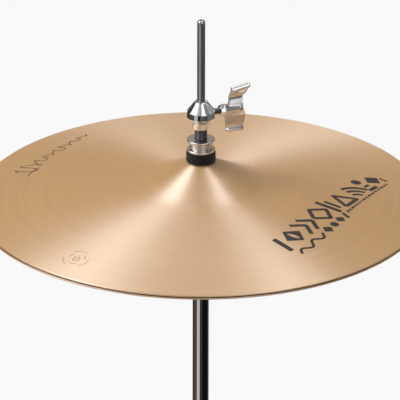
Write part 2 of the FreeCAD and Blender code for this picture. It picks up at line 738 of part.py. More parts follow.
nodes = {
    "top_cymbal": cymbal(1),
    "bottom_cymbal": cymbal(-1),
    "upper_pull_rod": upper_rod(),
    "rod_coupler": rod_coupler(),
    "lower_pull_rod": cylinder(rod_radius, clevis_pin_z + link_eye + 2.5, coupler_z + coupler_length / 2 - 0.1),
    "clutch_body": clutch_body(),
    "clutch_stem": clutch_stem(),
    "clutch_lock_nut": flanged_nut(upper_nut_base, True),
    "clutch_felt_nut": flanged_nut(lower_nut_base, False),
    "clutch_upper_felt": tube(felt_radius, stem_radius + soft_gap, crown + soft_gap, lower_nut_base - soft_gap),
    "clutch_lower_felt": tube(
        lower_felt_radius, stem_radius + soft_gap, lower_felt_top - lower_felt_thickness, lower_felt_top
    ),
    "clutch_bottom_nut": bottom_nut(),
    "clutch_wing_stud": wing_stud(
        wing_turn, crown + wing_height, clutch_stud_radius, rod_radius + 0.1, clutch_hub_start + 5
    ),
    "clutch_wing_head": wing_head(wing_turn, crown + wing_height, clutch_hub_start, *clutch_wing_size),
    "seat_felt": tube(
        seat_felt_radius, bushing_flange_radius + soft_gap, seat_felt_top - seat_felt_thickness, seat_felt_top
    ),
    "cymbal_seat": seat(),
    "seat_screw": seat_screw(),
    "rod_bushing": rod_bushing(),
    "upper_tube": tube(tube_radius, tube_radius - tube_wall, tube_bottom, seat_top),
    "height_clamp": height_clamp(),
    "height_bolt_stud": wing_stud(bolt_turn, clamp_middle, bolt_radius, bolt_inner["height"], bolt_start + 5),
    "height_bolt_head": wing_head(bolt_turn, clamp_middle, bolt_start, *bolt_size),
    "tube_liner": tube_liner(),
    "lower_tube": tube(
        lower_tube_radius, lower_tube_radius - lower_tube_wall, tube_seat_z, lower_tube_top
    ),
    "leg_collar": leg_collar(),
    "leg_collar_pins": Part.makeCompound(collar_pins()),
    "leg_bolt_stud": wing_stud(bolt_turn, collar_middle, bolt_radius, bolt_inner["legs"], bolt_start + 5),
    "leg_bolt_head": wing_head(bolt_turn, collar_middle, bolt_start, *bolt_size),
    "yoke": yoke(),
    "yoke_pads": Part.makeCompound(yoke_pads()),
    "tube_screw": tube_screw(),
    "brace_pins": Part.makeCompound(brace_pins()),
    "spring_seat": tube(
        lower_tube_radius - lower_tube_wall - running, rod_radius + running, tube_seat_z, spring_base
    ),
    "spring": spring(),
    "spring_collar": tube(
        spring_collar_radius, rod_radius + running, spring_collar_z, spring_collar_z + spring_collar
    ),
    "rod_clevis": clevis(),
    "clevis_pin": pedal_pin(0, clevis_pin_z, clevis_radius - 0.5),
    "pull_link": link(),
    "toe_pin": pedal_pin(toe_pin_y, toe_pin_z, link_thickness / 2 + side_gap + 4),
    "footboard": footboard(),
    "heel_pin": heel_pin(),
    "heel_plate": heel_plate(),
    "heel_mat": heel_mat(),
    "frame_rods": Part.makeCompound(frame_rods()),
}

for number, turn in enumerate(leg_turns, start=1):
    nodes[f"leg_{number}_left_strap"] = spun(leg_straps(1), turn)
    nodes[f"leg_{number}_right_strap"] = spun(leg_straps(-1), turn)
    nodes[f"leg_{number}_rivet"] = Part.makeCompound([spun(half, turn) for half in leg_rivet()])
    nodes[f"leg_{number}_brace"] = spun(brace(), turn)
    nodes[f"leg_{number}_foot"] = spun(foot(), turn)

for name, shape in nodes.items():
    shape.exportStep(f"parts/{name}.step")
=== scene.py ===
import math

import bpy
import numpy as np
from mathutils import Euler, Matrix, Vector


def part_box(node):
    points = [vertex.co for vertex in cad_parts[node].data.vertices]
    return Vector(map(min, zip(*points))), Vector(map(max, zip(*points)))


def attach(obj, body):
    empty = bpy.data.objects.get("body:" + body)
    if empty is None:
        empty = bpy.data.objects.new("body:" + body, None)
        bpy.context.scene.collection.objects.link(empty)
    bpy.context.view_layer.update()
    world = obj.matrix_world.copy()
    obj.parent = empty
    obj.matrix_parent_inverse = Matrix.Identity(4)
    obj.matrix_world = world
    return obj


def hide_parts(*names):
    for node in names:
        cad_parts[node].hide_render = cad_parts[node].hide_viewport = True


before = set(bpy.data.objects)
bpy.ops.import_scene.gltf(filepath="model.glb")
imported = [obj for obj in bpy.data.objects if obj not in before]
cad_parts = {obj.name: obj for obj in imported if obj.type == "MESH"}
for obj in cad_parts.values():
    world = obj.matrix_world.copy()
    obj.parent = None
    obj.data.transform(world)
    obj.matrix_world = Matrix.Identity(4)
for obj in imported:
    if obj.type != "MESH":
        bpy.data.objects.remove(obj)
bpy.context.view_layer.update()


# ---- Studio: pale floor, soft light and a long lens that looks down on the hats ----
# The camera stands in front of the pedal, far off, and looks down at the clutch. Three soft panels
# hang overhead, the largest on the left; pale and dark cards round the room show as stripes in chrome.

crown_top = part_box("top_cymbal")[1].z
view_down = math.radians(24.0)
view_distance = 12.0
view_width = 0.3145
view_roll = math.radians(0.1)
aim = Vector((-0.0007, 0, crown_top - 0.0341))
sensor_width = 36.0
far_clip = 100.0

lens = bpy.data.cameras.new("studio_camera")
lens.sensor_width = sensor_width
lens.lens = sensor_width * view_distance / view_width
lens.clip_end = far_clip
camera = bpy.data.objects.new("studio_camera", lens)
camera.location = aim + view_distance * Vector((0, -math.cos(view_down), math.sin(view_down)))
look = (aim - camera.location).to_track_quat("-Z", "Y")
camera.rotation_mode = "QUATERNION"
camera.rotation_quaternion = look @ Euler((0, 0, view_roll)).to_quaternion()
bpy.context.scene.collection.objects.link(camera)
bpy.context.scene.camera = camera
bpy.context.scene.view_settings.view_transform = "Standard"


def round_patch(tree, unit, direction, strength, inner, outer):
    """Light from a round patch of sky: full strength within inner degrees, none beyond outer degrees."""
    dot = tree.nodes.new("ShaderNodeVectorMath")
    dot.operation = "DOT_PRODUCT"
    dot.inputs[1].default_value = Vector(direction).normalized()
    tree.links.new(unit, dot.inputs[0])
    edge = tree.nodes.new("ShaderNodeMapRange")
    edge.interpolation_type = "SMOOTHERSTEP"
    edge.inputs["From Min"].default_value = math.cos(math.radians(outer))
    edge.inputs["From Max"].default_value = math.cos(math.radians(inner))
    edge.inputs["To Max"].default_value = strength
    tree.links.new(dot.outputs["Value"], edge.inputs["Value"])
    return edge.outputs[0]


def ring_of_cards(tree, turn, stops):
    """Tones round the horizon: each stop is (degrees right of the camera's side, red, green, blue)."""
    node = tree.nodes.new("ShaderNodeValToRGB")
    node.color_ramp.interpolation = "EASE"
    while len(node.color_ramp.elements) < len(stops):
        node.color_ramp.elements.new(0.5)
    for element, (degrees, *tone) in zip(node.color_ramp.elements, stops):
        element.position = (degrees + 180) / 360
        element.color = (*tone, 1)
    tree.links.new(turn, node.inputs["Fac"])
    return node.outputs["Color"]


def grey(degrees, tone):
    """Stop of a neutral tone."""
    return (degrees, tone, tone, tone * 1.01)


# Cards seen by upright chrome that looks at the floor, by faces that lean a little, and at eye level.
floor_cards = [
    grey(-180, 0.05), (-130, 0.06, 0.045, 0.03), (-70, 0.10, 0.075, 0.055),
    (-58, 0.07, 0.055, 0.045), grey(-52, 0.62), grey(-18, 0.62), grey(-8, 0.03),
    grey(0, 0.004), grey(12, 0.06), grey(20, 0.03), grey(32, 0.004), grey(100, 0.004),
    grey(125, 0.06), grey(180, 0.05),
]
low_cards = [
    grey(-180, 0.05), (-130, 0.06, 0.045, 0.03), (-70, 0.10, 0.075, 0.055),
    (-60, 0.04, 0.03, 0.025), grey(-54, 0.55), grey(-30, 0.55), grey(-24, 0.004),
    grey(-4, 0.004), grey(0, 0.28), grey(4, 0.02), grey(16, 0.10), grey(24, 0.03),
    grey(45, 0.04), grey(60, 0.16), grey(110, 0.16), grey(140, 0.03), grey(180, 0.05),
]
side_cards = [
    (-180, 0.40, 0.35, 0.31), grey(-125, 0.05), grey(-108, 0.05), grey(-98, 1.5), grey(-52, 1.5),
    grey(-30, 0.5), grey(0, 0.33), grey(14, 1.35), grey(38, 1.35), grey(54, 0.22), grey(78, 0.24),
    grey(95, 0.46), grey(130, 0.22), (180, 0.40, 0.35, 0.31),
]
top_tone = 0.42
backdrop_tone = 0.91

# Heights of the unit direction between which one ring of tones gives way to the next.
floor_edge = (-0.38, -0.35)
side_edge = (-0.32, 0.0)
top_edge = (0.80, 0.90)

# Panels: direction, strength, and the angles where full light ends and where all light ends.
panels = [
    ((-0.60, 0.02, 0.80), 8.4, 9, 19),
    ((-0.211, 0.579, 0.788), 1.5, 9, 20),
    ((0.299, 0.251, 0.921), 20.0, 3, 8),
]

room = bpy.data.worlds.new("studio_room")
room.use_nodes = True
bpy.context.scene.world = room
sky = room.node_tree
sky.nodes.clear()
where = sky.nodes.new("ShaderNodeTexCoord")
unit_node = sky.nodes.new("ShaderNodeVectorMath")
unit_node.operation = "NORMALIZE"
sky.links.new(where.outputs["Generated"], unit_node.inputs[0])
unit = unit_node.outputs[0]
axes = sky.nodes.new("ShaderNodeSeparateXYZ")
sky.links.new(unit, axes.inputs[0])
minus_y = sky.nodes.new("ShaderNodeMath")
minus_y.operation = "MULTIPLY"
minus_y.inputs[1].default_value = -1
sky.links.new(axes.outputs["Y"], minus_y.inputs[0])
angle = sky.nodes.new("ShaderNodeMath")
angle.operation = "ARCTAN2"
sky.links.new(axes.outputs["X"], angle.inputs[0])
sky.links.new(minus_y.outputs[0], angle.inputs[1])
turn_node = sky.nodes.new("ShaderNodeMapRange")
turn_node.inputs["From Min"].default_value = -math.pi
turn_node.inputs["From Max"].default_value = math.pi
sky.links.new(angle.outputs[0], turn_node.inputs["Value"])
turn = turn_node.outputs[0]


def by_height(tree, height, edge, below, above):
    """Goes smoothly from one tone to another between an edge's two heights of the unit direction."""
    share = tree.nodes.new("ShaderNodeMapRange")
    share.interpolation_type = "SMOOTHSTEP"
    share.inputs["From Min"].default_value, share.inputs["From Max"].default_value = edge
    tree.links.new(height, share.inputs["Value"])
    mix = tree.nodes.new("ShaderNodeMix")
    mix.data_type = "RGBA"
    tree.links.new(share.outputs[0], mix.inputs["Factor"])
    for socket, tone in ((mix.inputs["A"], below), (mix.inputs["B"], above)):
        if isinstance(tone, tuple):
            socket.default_value = tone
        else:
            tree.links.new(tone, socket)
    return mix.outputs["Result"]


floor_ring = ring_of_cards(sky, turn, floor_cards)
low_ring = ring_of_cards(sky, turn, low_cards)
side_ring = ring_of_cards(sky, turn, side_cards)
upright = axes.outputs["Z"]
light = by_height(sky, upright, floor_edge, floor_ring, low_ring)
light = by_height(sky, upright, side_edge, light, side_ring)
light = by_height(sky, upright, top_edge, light, (top_tone, top_tone, top_tone * 1.02, 1))
for panel in panels:
    add = sky.nodes.new("ShaderNodeVectorMath")
    sky.links.new(light, add.inputs[0])
    sky.links.new(round_patch(sky, unit, *panel), add.inputs[1])
    light = add.outputs[0]
glow = sky.nodes.new("ShaderNodeBackground")
sky.links.new(light, glow.inputs["Color"])
backdrop = sky.nodes.new("ShaderNodeBackground")
backdrop.inputs["Color"].default_value = (backdrop_tone, backdrop_tone, backdrop_tone, 1)
ray = sky.nodes.new("ShaderNodeLightPath")
seen = sky.nodes.new("ShaderNodeMixShader")
sky.links.new(ray.outputs["Is Camera Ray"], seen.inputs["Fac"])
sky.links.new(glow.outputs[0], seen.inputs[1])
sky.links.new(backdrop.outputs[0], seen.inputs[2])
out = sky.nodes.new("ShaderNodeOutputWorld")
sky.links.new(seen.outputs[0], out.inputs["Surface"])


def material(name, colour, metallic, roughness):
    """New node material with plain values; returns the material, its tree and its shader."""
    made = bpy.data.materials.new(name)
    made.use_nodes = True
    shader = made.node_tree.nodes["Principled BSDF"]
    shader.inputs["Base Color"].default_value = (*colour, 1)
    shader.inputs["Metallic"].default_value = metallic
    shader.inputs["Roughness"].default_value = roughness
    return made, made.node_tree, shader


floor_half = 12.0
floor_tone = 0.69
floor_roughness = 0.8
floor_glow = 0.06
floor_mesh = bpy.data.meshes.new("floor")
corners = [(-floor_half, -floor_half, 0), (floor_half, -floor_half, 0)]
corners += [(floor_half, floor_half, 0), (-floor_half, floor_half, 0)]
floor_mesh.from_pydata(corners, [], [(0, 1, 2, 3)])
floor = bpy.data.objects.new("floor", floor_mesh)
bpy.context.scene.collection.objects.link(floor)
floor_paint, tree, shader = material("floor_paint", (floor_tone,) * 3, 0, floor_roughness)
shader.inputs["Emission Color"].default_value = (1, 1, 1, 1)
shader.inputs["Emission Strength"].default_value = floor_glow
floor_mesh.materials.append(floor_paint)
floor.visible_glossy = False


# ---- Cymbals: two turned and hammered bronze hats, the lower one upside down ----
# Each is a thin shell spun to a bow and a flared bell, hammered, then cut with fine lathe grooves
# and lacquered. The upper hangs on the clutch, the lower lies on the seat.

low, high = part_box("top_cymbal")
hat_radius = high.x
hat_plane = (low.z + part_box("bottom_cymbal")[1].z) / 2
hat_gap = low.z - hat_plane
hat_wall = 0.0012
hat_hole = 0.0066
rim_round = 0.0004
hat_rise = high.z - low.z - hat_wall
bell_rise = 0.0190
bell_radius = 0.0480
bell_crown_radius = 0.0110
bell_softness = 0.0011
crown_softness = 0.0006
bow_swell = 0.0026


def soft_least(a, b, softness):
    """Smaller of two heights, its corner rounded.

    It is their mean, less the root of the squares of half their difference and of the softness.
    """
    return (a + b) / 2 - np.sqrt(((a - b) / 2) ** 2 + softness**2)


def hat_height(radius):
    """Height over the rim: the larger of a bow and a bell cone, cut off flat at the crown.

    The bow is a straight line with a parabolic swell, and both corners are soft.
    """
    span = hat_radius - bell_radius
    share = np.clip((hat_radius - radius) / span, 0, 2)
    bow = (hat_rise - bell_rise) * share + 4 * bow_swell * share * np.clip(1 - share, 0, 1)
    slope = bell_rise / (bell_radius - bell_crown_radius)
    bell = hat_rise + slope * (bell_crown_radius - radius)
    flared = -soft_least(-bow, -bell, bell_softness)
    return soft_least(flared, np.full_like(radius, hat_rise), crown_softness)


hammer = np.random.default_rng(14)
dent_count = 320
innermost, outermost = 0.10, 0.98
dent_radius = hat_radius * np.sqrt(hammer.uniform(innermost, outermost, dent_count))
dent_angle = hammer.uniform(0, 2 * math.pi, dent_count)
dent_depth = hammer.uniform(0.00001, 0.000045, dent_count)
dent_size = hammer.uniform(0.005, 0.011, dent_count)


def dents(x, y):
    """Depth of the hammer marks: the sum of a bell curve round each blow."""
    drop = np.zeros(np.broadcast(x, y).shape)
    for r, a, depth, size in zip(dent_radius, dent_angle, dent_depth, dent_size):
        away = (x - r * math.cos(a)) ** 2 + (y - r * math.sin(a)) ** 2
        drop += depth * np.exp(-away / size**2)
    return drop


def skin(name, *grids, capped=False):
    """Mesh of quads over rows of closed loops; the rows join round, or end in a flat cap at each end."""
    corners = []
    faces = []
    first = 0
    for points in grids:
        rows, columns = points.shape[:2]
        index = np.arange(rows * columns).reshape(rows, columns) + first
        first += rows * columns
        after = np.roll(index, -1, axis=0)
        quads = np.stack([index, after, np.roll(after, -1, axis=1), np.roll(index, -1, axis=1)], -1)
        if capped:
            quads = quads[:-1]
            faces += [index[0].tolist(), index[-1][::-1].tolist()]
        faces += quads.reshape(-1, 4).tolist()
        corners.append(points.reshape(-1, 3))
    mesh = bpy.data.meshes.new(name)
    mesh.from_pydata(np.concatenate(corners), [], faces)
    piece = bpy.data.objects.new(name, mesh)
    bpy.context.scene.collection.objects.link(piece)
    return piece


def finished(piece, paint, body, nodes=(), crease=35.0):
    """Turns the faces outwards by the sign of the volume, and shades smooth below the crease angle.

    It then paints the piece, rides it on its body, and hides the nodes it stands for.
    """
    mesh = piece.data
    mesh.calc_loop_triangles()
    corner = np.zeros(len(mesh.vertices) * 3)
    mesh.vertices.foreach_get("co", corner)
    corner = corner.reshape(-1, 3)
    faces = np.zeros(len(mesh.loop_triangles) * 3, int)
    mesh.loop_triangles.foreach_get("vertices", faces)
    p = corner[faces.reshape(-1, 3)] - corner.mean(0)
    if np.einsum("ij,ij->i", p[:, 0], np.cross(p[:, 1], p[:, 2])).sum() < 0:
        mesh.flip_normals()
    mesh.shade_smooth()
    mesh.set_sharp_from_angle(angle=math.radians(crease))
    mesh.materials.append(paint)
    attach(piece, body)
    if nodes:
        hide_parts(*nodes)
    return piece


def turned(outline, steps=128, ripple=None, carry=None):
    """Closed outline of (radius, height) spun about the height axis, from x towards y.

    ripple may change radius and height with the angle; carry is a matrix that takes it to its place.
    """
    outline = np.asarray(outline, float)
    angle = (np.arange(steps) * 2 * math.pi / steps)[:, None]
    r = outline[None, :, 0] * np.ones((steps, 1))
    z = outline[None, :, 1] * np.ones((steps, 1))
    if ripple is not None:
        r, z = ripple(angle, r, z)
    points = np.stack([r * np.cos(angle), r * np.sin(angle), z], -1)
    return points if carry is None else placed(points, carry)


def placed(points, carry):
    """Points carried by a 4 by 4 matrix."""
    m = np.array(carry)
    return points @ m[:3, :3].T + m[:3, 3]


def hat_outline(steps=160, rim_steps=7):
    """One cymbal's section over its rim's lower edge: out along the top, round the rim, back underneath.

    The underside has half as many rows as the top.
    """
    r = np.linspace(hat_hole, hat_radius - rim_round, steps)
    top = np.stack([r, hat_wall + hat_height(r)], -1)
    r = r[::-2]
    under = np.stack([r, hat_height(r)], -1)
    arc = np.linspace(math.pi / 2, -math.pi / 2, rim_steps)[1:-1]
    rim_radius = hat_radius - rim_round + rim_round * np.cos(arc)
    rim = np.stack([rim_radius, hat_wall / 2 * (1 + np.sin(arc))], -1)
    return np.concatenate([top, rim, under])


def hat(name, flip, steps=288):
    """Cymbal shell about the rod's axis; flip is 1 for the upper hat, -1 for the lower one, bell down."""
    outline = hat_outline()
    outline[:, 1] = hat_plane + flip * (hat_gap + outline[:, 1])

    def hammered(angle, radius, height):
        """Sinks each point by the dents at its place on the hat."""
        return radius, height - flip * dents(radius * np.cos(angle), radius * np.sin(angle))

    return skin(name, turned(outline, steps, hammered))


def axis_rings(name, scales, shift_by):
    """Group: rings about the upright axis, from noise in the radius alone, at two scales."""
    tree = bpy.data.node_groups.new(name, "ShaderNodeTree")
    for socket in ("Fine", "Broad"):
        tree.interface.new_socket(socket, in_out="OUTPUT", socket_type="NodeSocketFloat")
    give = tree.nodes.new("NodeGroupOutput")
    where = tree.nodes.new("ShaderNodeTexCoord")
    flat = tree.nodes.new("ShaderNodeVectorMath")
    flat.operation = "MULTIPLY"
    flat.inputs[1].default_value = (1, 1, 0)
    tree.links.new(where.outputs["Object"], flat.inputs[0])
    reach = tree.nodes.new("ShaderNodeVectorMath")
    reach.operation = "LENGTH"
    tree.links.new(flat.outputs[0], reach.inputs[0])
    shift = tree.nodes.new("ShaderNodeMath")
    shift.inputs[1].default_value = shift_by
    tree.links.new(reach.outputs["Value"], shift.inputs[0])
    for socket, scale in zip(("Fine", "Broad"), scales):
        noise = tree.nodes.new("ShaderNodeTexNoise")
        noise.noise_dimensions = "1D"
        noise.inputs["Scale"].default_value = scale
        noise.inputs["Detail"].default_value = 3.0
        tree.links.new(shift.outputs[0], noise.inputs["W"])
        tree.links.new(noise.outputs["Fac"], give.inputs[socket])
    return tree


def ramp(tree, source, *stops):
    """Colour ramp over (position, colour) stops."""
    node = tree.nodes.new("ShaderNodeValToRGB")
    while len(node.color_ramp.elements) < len(stops):
        node.color_ramp.elements.new(0.5)
    for element, (position, tone) in zip(node.color_ramp.elements, stops):
        element.position = position
        element.color = (*tone, 1)
    tree.links.new(source, node.inputs["Fac"])
    return node.outputs["Color"]


def mixed(tree, a, b, share, blend="MIX"):
    """Two colours' sockets mixed by a share, which is a socket or a number."""
    node = tree.nodes.new("ShaderNodeMix")
    node.data_type = "RGBA"
    node.blend_type = blend
    for socket, value in (("Factor", share), ("A", a), ("B", b)):
        if isinstance(value, bpy.types.NodeSocket):
            tree.links.new(value, node.inputs[socket])
        else:
            node.inputs[socket].default_value = value
    return node.outputs["Result"]


def raised(tree, shader, source, strength, distance):
    """Bump from a height source into the shader's normal."""
    bump = tree.nodes.new("ShaderNodeBump")
    bump.inputs["Strength"].default_value = strength
    bump.inputs["Distance"].default_value = distance
    tree.links.new(source, bump.inputs["Height"])
    tree.links.new(bump.outputs[0], shader.inputs["Normal"])


def cloud(tree, scale, detail=3.0):
    """Soft noise in object coordinates."""
    where = tree.nodes.new("ShaderNodeTexCoord")
    noise = tree.nodes.new("ShaderNodeTexNoise")
    noise.inputs["Scale"].default_value = scale
    noise.inputs["Detail"].default_value = detail
    tree.links.new(where.outputs["Object"], noise.inputs["Vector"])
    return noise.outputs["Fac"]


bronze_dark = (0.458, 0.252, 0.086)
bronze_mid = (0.50, 0.282, 0.102)
bronze_pale = (0.540, 0.308, 0.115)
fine_rings, broad_rings = 2600.0, 160.0
patina_share = 0.8

bronze, tree, shader = material("lathed_bronze", bronze_mid, 0.12, 0.44)
shader.inputs["IOR"].default_value = 3.1
shader.inputs["Anisotropic"].default_value = 0.88
shader.inputs["Anisotropic Rotation"].default_value = 0.25
along = tree.nodes.new("ShaderNodeTangent")
along.direction_type = "RADIAL"
along.axis = "Z"
tree.links.new(along.outputs[0], shader.inputs["Tangent"])
rings = tree.nodes.new("ShaderNodeGroup")
rings.node_tree = axis_rings("lathe_rings", (fine_rings, broad_rings), 3.0)
fine = ramp(tree, rings.outputs["Fine"], (0.25, bronze_dark), (0.75, bronze_pale))
broad = ramp(
    tree, rings.outputs["Broad"],
    (0.25, (0.95, 0.95, 0.95)), (0.55, (1.0, 1.0, 1.0)), (0.8, (1.03, 1.03, 1.03)),
)
toned = mixed(tree, fine, broad, 1.0, "MULTIPLY")
patina = ramp(tree, cloud(tree, 9.0, 4.0), (0.35, (0.93, 0.91, 0.88)), (0.7, (1.03, 1.03, 1.04)))
tree.links.new(mixed(tree, toned, patina, patina_share, "MULTIPLY"), shader.inputs["Base Color"])
raised(tree, shader, rings.outputs["Fine"], 0.08, 0.0002)

finished(hat("bottom_hat", -1), bronze, "low_hat", ["bottom_cymbal"])
finished(hat("top_hat", 1), bronze, "high_hat", ["top_cymbal"])


# ---- Printed and etched marks on the upper hat: plain geometric ornaments in black ink ----
# Thin layers of ink that follow the bow: a long band of bars, diamonds and arcs, and a fine curled
# line across from it. A small ring of broken arcs round a diamond is etched near the rim.


def mottled(name, metallic, roughness, scale, detail, dark, pale, from_share=0.3, to_share=0.75):
    """Material whose colour goes from dark to pale with soft noise of the given scale."""
    middle = tuple((a + b) / 2 for a, b in zip(dark, pale))
    made, tree, shader = material(name, middle, metallic, roughness)
    tone = ramp(tree, cloud(tree, scale, detail), (from_share, dark), (to_share, pale))
    tree.links.new(tone, shader.inputs["Base Color"])
    return made, tree, shader


ink_tones = ((0.006, 0.006, 0.006), (0.022, 0.019, 0.017))
etched_tones = ((0.33, 0.21, 0.12), (0.46, 0.30, 0.17))
ink, tree, shader = mottled("black_ink", 0.0, 0.42, 900.0, 3.0, *ink_tones)
etched, tree, shader = mottled("etched_line", 0.3, 0.5, 700.0, 3.0, *etched_tones)


def line(points, step=1.2):
    """Points a step apart along straight lines from corner to corner."""
    made = []
    for a, b in zip(points[:-1], points[1:]):
        a, b = np.array(a, float), np.array(b, float)
        count = max(2, int(np.linalg.norm(b - a) / step))
        made += [a + (b - a) * i / count for i in range(count)]
    made.append(np.array(points[-1], float))
    return np.array(made)


def arc_line(centre, radius, start, end):
    """Points along a circle's arc between two angles in degrees."""
    turns = np.radians(np.linspace(start, end, max(8, int(abs(end - start) / 6))))
    return np.array(centre) + radius * np.stack([np.cos(turns), np.sin(turns)], -1)


def layer(path, width, origin, along, height=0.00005):
    """Thin strip over the bow, four corners a row, half above the bronze and half sunk in it.

    The path runs in the mark's own plane, which starts at the origin and turns to face along; each of
    its points has a width, laid off square to the path. Heights are the bow's at each corner.
    """
    path = np.asarray(path, float)
    heading = np.gradient(path, axis=0)
    heading /= np.linalg.norm(heading, axis=1, keepdims=True) + 1e-12
    half = np.broadcast_to(width, len(path))[:, None] / 2
    aside = np.stack([-heading[:, 1], heading[:, 0]], -1) * half
    along = np.array(along) / np.linalg.norm(along)
    across = np.array([-along[1], along[0]])
    rows = []
    for edge, level in ((aside, height), (-aside, height), (-aside, -height), (aside, -height)):
        flat = path + edge
        place = np.array(origin) + flat[:, :1] * along + flat[:, 1:] * across
        x, y = place[:, 0], place[:, 1]
        z = hat_plane + hat_gap + hat_wall + hat_height(np.hypot(x, y)) - dents(x, y) + level
        rows.append(np.stack([x, y, z], -1))
    return np.stack(rows, 1)


def bar(a, b, width):
    """Straight bar from a to b."""
    return line([a, b]), width


thinnest = 0.00005


def diamond(x, y, half):
    """Filled diamond: a strip whose width grows to the middle and falls again."""
    path = line([(x - half, y), (x + half, y)], half / 8)
    return path, 2 * (half - np.abs(path[:, 0] - x)) + thinnest


def disc(x, y, radius):
    """Filled disc: a strip as wide as the circle's chord."""
    path = line([(x - radius, y), (x + radius, y)], radius / 10)
    return path, 2 * np.sqrt(np.clip(radius**2 - (path[:, 0] - x) ** 2, 0, None)) + thinnest


# Layouts are in millimetres along and across each mark, and scaled when they are laid on.
mm = 0.001
band = [
    bar((-63, 1), (-57, 21), 4.4),
    diamond(-43, 11, 10.0),
    (line([(-31, 1), (-22, 11), (-31, 21)]), 3.6),
    (line([(-21, 1), (-12, 11), (-21, 21)]), 3.6),
    (line([(-8, 11.5), (2, 21.5), (12, 11.5), (2, 1.5), (-8, 11.5)]), 3.4),
    bar((17, 0.5), (17, 24), 4.0),
    bar((23, 4), (23, 19), 3.2),
    (line([(28, 2), (46, 2), (37, 19), (28, 2)]), 3.4),
    (arc_line((49, 1), 7, 10, 80), 3.0),
    (arc_line((49, 1), 13, 10, 80), 3.2),
    (arc_line((49, 1), 19, 10, 80), 3.4),
    disc(74, 18, 4.2),
    bar((68, 2.5), (80, 2.5), 3.6),
    bar((70.5, 8.5), (77.5, 8.5), 2.6),
    diamond(88, 11, 7.5),
    bar((96, 2), (96, 9), 2.4),
]
wave_start, wave_end, wave_length, wave_height = -62, -24, 17.5, 2.8
wave = np.linspace(wave_start, wave_end, 70)
wave_turn = (wave - wave_start - 1) / wave_length * 2 * math.pi
band += [(np.stack([wave, -6.5 + wave_height * np.sin(wave_turn)], -1), 2.4)]
band += [
    diamond(-16, -5.5, 5.0),
    disc(-5.5, -5.5, 3.6),
    diamond(5, -5.0, 4.6),
    bar((12, -9), (16, -1), 2.8),
]

dash = np.random.default_rng(8)
dash_start, dash_end, dash_gap = 20.0, 92, 1.3
dash_slope = 0.035
spot = dash_start
while spot < dash_end:
    length = dash.uniform(1.5, 5.0)
    level = -3.4 + (spot - 15) * dash_slope
    band.append(bar((spot, level), (spot + length, level + length * dash_slope), dash.uniform(1.6, 3.0)))
    spot += length + dash_gap
band_origin, band_along = (102.4 * mm, -55.8 * mm), (0.478, 0.878)
strips = [layer(path * mm, np.asarray(width) * mm, band_origin, band_along) for path, width in band]
finished(skin("ink_band", *strips, capped=True), ink, "high_hat", crease=60)

share = np.linspace(0, 1, 300)
curl_length, curl_width = 94, 0.85
swing = 7.0 * np.exp(-(((share - 0.10) / 0.16) ** 2)) + 2.6
swing = swing + 1.6 * np.exp(-(((share - 0.62) / 0.10) ** 2))
sway = curl_length * share + 1.8 * np.sin(share * 24 * math.pi)
curl = np.stack([sway, swing * np.sin(share * 16 * math.pi + 0.4)], -1)
tail = np.stack([np.linspace(-4, 14, 24), -9.0 + 1.5 * np.sin(np.linspace(0, 2.6, 24))], -1)
curl_origin, curl_along = (-142 * mm, 43 * mm), (0.549, 0.836)
strips = [layer(path * mm, curl_width * mm, curl_origin, curl_along) for path in (curl, tail)]
finished(skin("ink_wave", *strips, capped=True), ink, "high_hat", crease=60)

seal = [(arc_line((0, 0), 10.5, start, start + 62), 0.6) for start in (15, 135, 255)]
seal += [(arc_line((0, 0), 7.0, start, start + 40), 0.7) for start in (85, 205, 325)]
seal += [(line([(-3.2, 0), (0, 3.6), (3.2, 0), (0, -3.6), (-3.2, 0)], 0.5), 0.8), disc(0, 0, 0.7)]
seal_origin, seal_along = (-97 * mm, -118.5 * mm), (0.94, 0.34)
strips = [layer(path * mm, np.asarray(width) * mm, seal_origin, seal_along) for path, width in seal]
finished(skin("etched_seal", *strips, capped=True), etched, "high_hat", crease=60)


# ---- Rod and tube: a drawn steel rod through a chromed tube ----
# The rod hangs from the clutch, runs down the tube and pulls the pedal. Its tip is rounded off.
# The tube stands in the lower tube and carries the seat at its top.


def rounded(points, reaches, steps=5, hold=0.15):
    """Closed outline with each corner replaced by a curve that starts and ends its reach away from it.

    A further point a share of the reach beyond each end keeps the straight runs flat in shading.
    """
    points = [np.array(p, float) for p in points]
    smooth = []
    for i, (p, reach) in enumerate(zip(points, reaches)):
        if reach == 0:
            smooth.append(p)
            continue
        before = p + (points[i - 1] - p) / np.linalg.norm(points[i - 1] - p) * reach
        after_point = points[(i + 1) % len(points)]
        after = p + (after_point - p) / np.linalg.norm(after_point - p) * reach
        smooth.append(before + hold * (before - p))
        for t in np.linspace(0, 1, steps):
            smooth.append((1 - t) ** 2 * before + 2 * t * (1 - t) * p + t**2 * after)
        smooth.append(after + hold * (after - p))
    return np.array(smooth)


